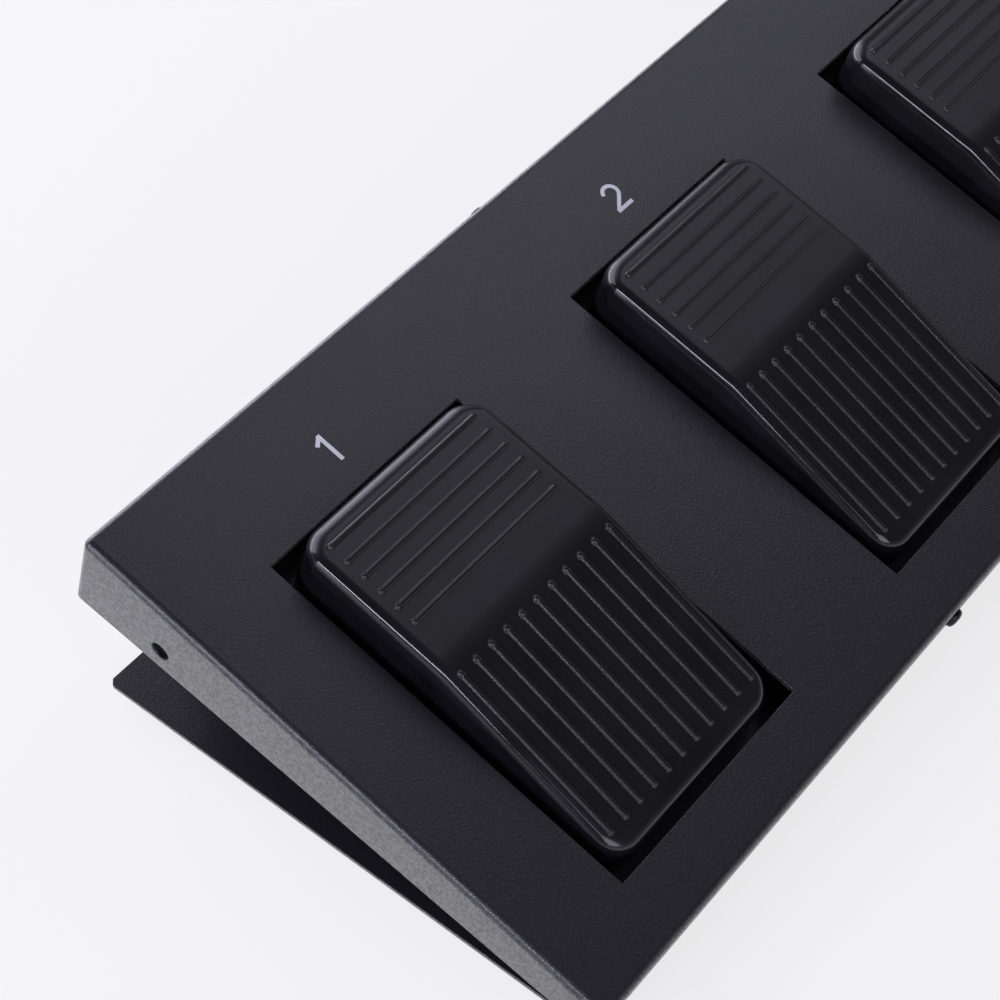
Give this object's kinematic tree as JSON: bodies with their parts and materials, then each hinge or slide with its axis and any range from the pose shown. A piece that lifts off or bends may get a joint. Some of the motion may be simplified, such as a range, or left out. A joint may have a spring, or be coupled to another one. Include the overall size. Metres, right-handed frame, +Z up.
{
  "type": "wireless foot switch",
  "caption": "Low wedge-shaped wireless foot switch in folded black steel, with a row of ribbed hinged pedals and rubber feet.",
  "frame": {"origin": "on the floor under the middle of the object, level with the undersides of the rubber feet", "axes": "+X to the user's right along the row of pedals, +Y away from the user towards the high back edge, +Z up"},
  "size_m": [0.476, 0.1675, 0.0658],
  "materials": {
    "powder_coated_steel": "fine-texture black powder coat on folded steel sheet",
    "moulded_abs": "moulded black ABS, satin top and glossier sides",
    "glass_filled_nylon": "moulded black glass-filled nylon",
    "gloss_nylon": "polished black nylon",
    "acetal": "moulded red acetal",
    "zinc_plated_steel": "zinc plated",
    "black_oxide_steel": "black oxide",
    "spring_steel": "bright rolled spring strip",
    "rubber": "matt black rubber",
    "battery_case": "plain foil jacket",
    "lamp_lens": "green diffused epoxy",
    "lamp_clip": "black moulded clip",
    "board_laminate": "green solder mask on glass epoxy",
    "radio_can": "tinned pressed steel",
    "antenna_wire": "insulated wire",
    "chip_epoxy": "moulded epoxy",
    "capacitor_can": "sleeved aluminium can"
  },
  "bodies": {
    "housing": {"top_cover": "powder_coated_steel", "side_nuts": "zinc_plated_steel", "base_plate": "powder_coated_steel", "rear_panel": "powder_coated_steel", "end_cheek_left": "powder_coated_steel", "end_cheek_right": "powder_coated_steel", "pedal_tray": "powder_coated_steel", "rubber_feet": "rubber", "front_screws": "black_oxide_steel", "rear_screws": "black_oxide_steel", "battery_holder": "glass_filled_nylon", "battery_contacts": "spring_steel", "power_switch_body": "glass_filled_nylon", "status_led": "lamp_lens", "led_clip": "lamp_clip", "circuit_board": "board_laminate", "board_supports": "glass_filled_nylon", "radio_module": "radio_can", "antenna": "antenna_wire", "control_chip": "chip_epoxy", "capacitors": "capacitor_can", "crystal": "radio_can", "plug_headers": "glass_filled_nylon", "pedal_base_1": "glass_filled_nylon", "hinge_pin_1": "zinc_plated_steel", "return_spring_1": "spring_steel", "micro_switch_1": "glass_filled_nylon", "pedal_base_2": "glass_filled_nylon", "hinge_pin_2": "zinc_plated_steel", "return_spring_2": "spring_steel", "micro_switch_2": "glass_filled_nylon", "pedal_base_3": "glass_filled_nylon", "hinge_pin_3": "zinc_plated_steel", "return_spring_3": "spring_steel", "micro_switch_3": "glass_filled_nylon", "pedal_base_4": "glass_filled_nylon", "hinge_pin_4": "zinc_plated_steel", "return_spring_4": "spring_steel", "micro_switch_4": "glass_filled_nylon"},
    "rocker": {"power_rocker": "gloss_nylon"},
    "drawer": {"battery_drawer": "glass_filled_nylon", "battery": "battery_case"},
    "pedal_1": {"pedal_1": "moulded_abs"},
    "plunger_1": {"switch_plunger_1": "acetal"},
    "pedal_2": {"pedal_2": "moulded_abs"},
    "plunger_2": {"switch_plunger_2": "acetal"},
    "pedal_3": {"pedal_3": "moulded_abs"},
    "plunger_3": {"switch_plunger_3": "acetal"},
    "pedal_4": {"pedal_4": "moulded_abs"},
    "plunger_4": {"switch_plunger_4": "acetal"}
  },
  "joints": [
    {"name": "pedal_1_hinge", "type": "hinge", "parent": "housing", "child": "pedal_1", "pos_m": [-0.17505, 0.02889, 0.04453], "axis": [1, 0, 0], "range_deg": [0, 3.5], "stiffness_Nm_per_rad": 4, "springref_deg": -2.86, "deforming": ["return_spring_1"]},
    {"name": "pedal_2_hinge", "type": "hinge", "parent": "housing", "child": "pedal_2", "pos_m": [-0.05835, 0.02889, 0.04453], "axis": [1, 0, 0], "range_deg": [0, 3.5], "stiffness_Nm_per_rad": 4, "springref_deg": -2.86, "deforming": ["return_spring_2"]},
    {"name": "pedal_3_hinge", "type": "hinge", "parent": "housing", "child": "pedal_3", "pos_m": [0.05835, 0.02889, 0.04453], "axis": [1, 0, 0], "range_deg": [0, 3.5], "stiffness_Nm_per_rad": 4, "springref_deg": -2.86, "deforming": ["return_spring_3"]},
    {"name": "pedal_4_hinge", "type": "hinge", "parent": "housing", "child": "pedal_4", "pos_m": [0.17505, 0.02889, 0.04453], "axis": [1, 0, 0], "range_deg": [0, 3.5], "stiffness_Nm_per_rad": 4, "springref_deg": -2.86, "deforming": ["return_spring_4"]},
    {"name": "plunger_1_slide", "type": "slide", "parent": "housing", "child": "plunger_1", "axis": [0, -0.304, 0.9527], "range_m": [-0.00125, 0]},
    {"name": "plunger_2_slide", "type": "slide", "parent": "housing", "child": "plunger_2", "axis": [0, -0.304, 0.9527], "range_m": [-0.00125, 0]},
    {"name": "plunger_3_slide", "type": "slide", "parent": "housing", "child": "plunger_3", "axis": [0, -0.304, 0.9527], "range_m": [-0.00125, 0]},
    {"name": "plunger_4_slide", "type": "slide", "parent": "housing", "child": "plunger_4", "axis": [0, -0.304, 0.9527], "range_m": [-0.00125, 0]},
    {"name": "drawer_slide", "type": "slide", "parent": "housing", "child": "drawer", "axis": [0, 1, 0], "range_m": [0, 0.05]},
    {"name": "rocker_pivot", "type": "hinge", "parent": "housing", "child": "rocker", "pos_m": [0.096, 0.0758, 0.0205], "axis": [0, 0, 1], "range_deg": [-16, 0]}
  ],
  "couplings": [
    {"joint": "plunger_1_slide", "follows": "pedal_1_hinge", "m_per_rad": -0.02},
    {"joint": "plunger_2_slide", "follows": "pedal_2_hinge", "m_per_rad": -0.02},
    {"joint": "plunger_3_slide", "follows": "pedal_3_hinge", "m_per_rad": -0.02},
    {"joint": "plunger_4_slide", "follows": "pedal_4_hinge", "m_per_rad": -0.02}
  ]
}
